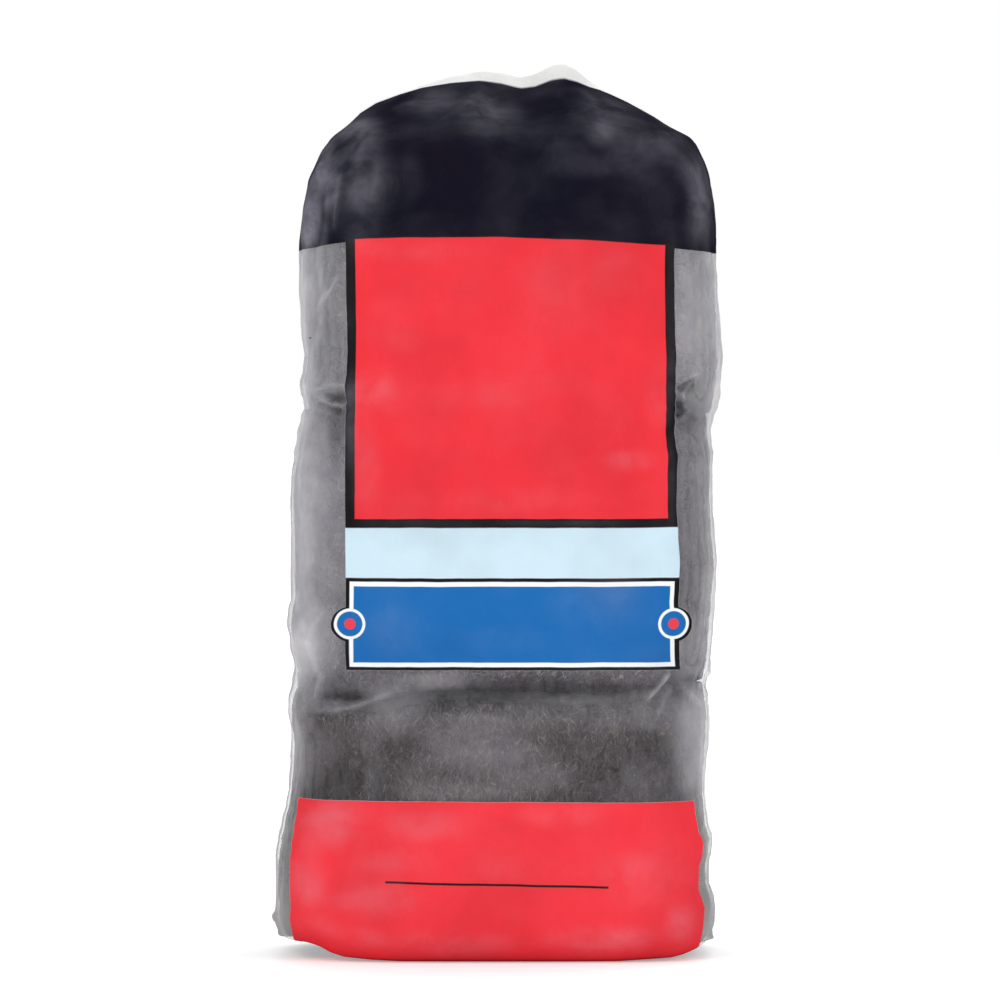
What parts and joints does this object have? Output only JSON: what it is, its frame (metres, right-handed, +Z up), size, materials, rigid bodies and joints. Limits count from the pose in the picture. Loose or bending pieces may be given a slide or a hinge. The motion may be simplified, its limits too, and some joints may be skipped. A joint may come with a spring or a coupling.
{
  "type": "bag of steel wool pads",
  "caption": "Upright sealed bag of clear printed film, packed with rolled steel wool pads in graded tiers, for sanding, stripping and polishing.",
  "frame": {"origin": "middle of the flat bottom that the bag stands on", "axes": "+Z up along the bag's height, the printed front looks along -Y, and X runs across the front"},
  "size_m": [0.1104, 0.0755, 0.2187],
  "materials": {
    "film": "clear, slightly hazy film with printed fields",
    "coarse_wool": "dull, coarse loose fibre",
    "medium_wool": "dull loose fibre",
    "fine_wool": "soft, fine loose fibre"
  },
  "bodies": {
    "root": {"bag_film": "film", "coarse_pad_1": "coarse_wool", "coarse_pad_2": "coarse_wool", "coarse_pad_3": "coarse_wool", "coarse_pad_4": "coarse_wool", "medium_pad_1": "medium_wool", "medium_pad_2": "medium_wool", "medium_pad_3": "medium_wool", "medium_pad_4": "medium_wool", "fine_pad_1": "fine_wool", "fine_pad_2": "fine_wool", "fine_pad_3": "fine_wool", "fine_pad_4": "fine_wool"}
  },
  "joints": []
}
